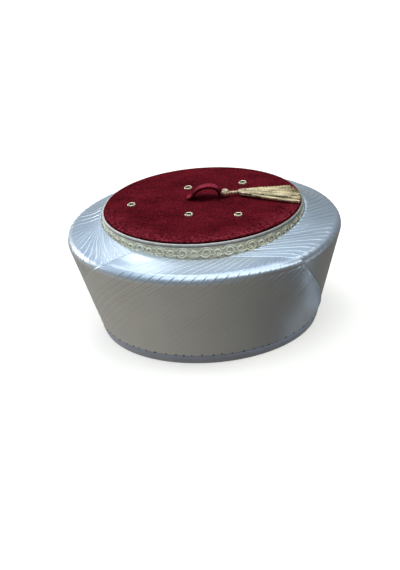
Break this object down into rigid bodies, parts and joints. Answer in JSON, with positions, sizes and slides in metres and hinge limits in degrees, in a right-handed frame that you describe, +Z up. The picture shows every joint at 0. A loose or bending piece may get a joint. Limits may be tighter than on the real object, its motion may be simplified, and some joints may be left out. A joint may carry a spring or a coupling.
{
  "type": "turban",
  "caption": "Ready-made turban: a flat velvet crown with braid, eyelets, strap loop and tassel inside a flaring ring of wound, pleated satin. Worn on the head.",
  "frame": {"origin": "middle of the base, on the surface that the turban rests on", "axes": "+Z up through the crown; the front faces -Y; +X is the side that the tassel lies to"},
  "size_m": [0.2442, 0.2442, 0.1228],
  "materials": {
    "velvet": "deep red cut pile",
    "satin": "white satin, pleated",
    "braid": "woven pale gold scroll on grey",
    "gold_thread": "metallic gold thread",
    "brass": "polished"
  },
  "bodies": {
    "root": {"crown": "velvet", "crown_loop": "velvet", "braid": "braid", "base_band": "satin", "wrap_front": "satin", "wrap_right": "satin", "wrap_back": "satin", "wrap_left": "satin", "eyelet_1": "brass", "eyelet_2": "brass", "eyelet_3": "brass", "eyelet_4": "brass", "eyelet_5": "brass", "tassel": "gold_thread"}
  },
  "joints": []
}
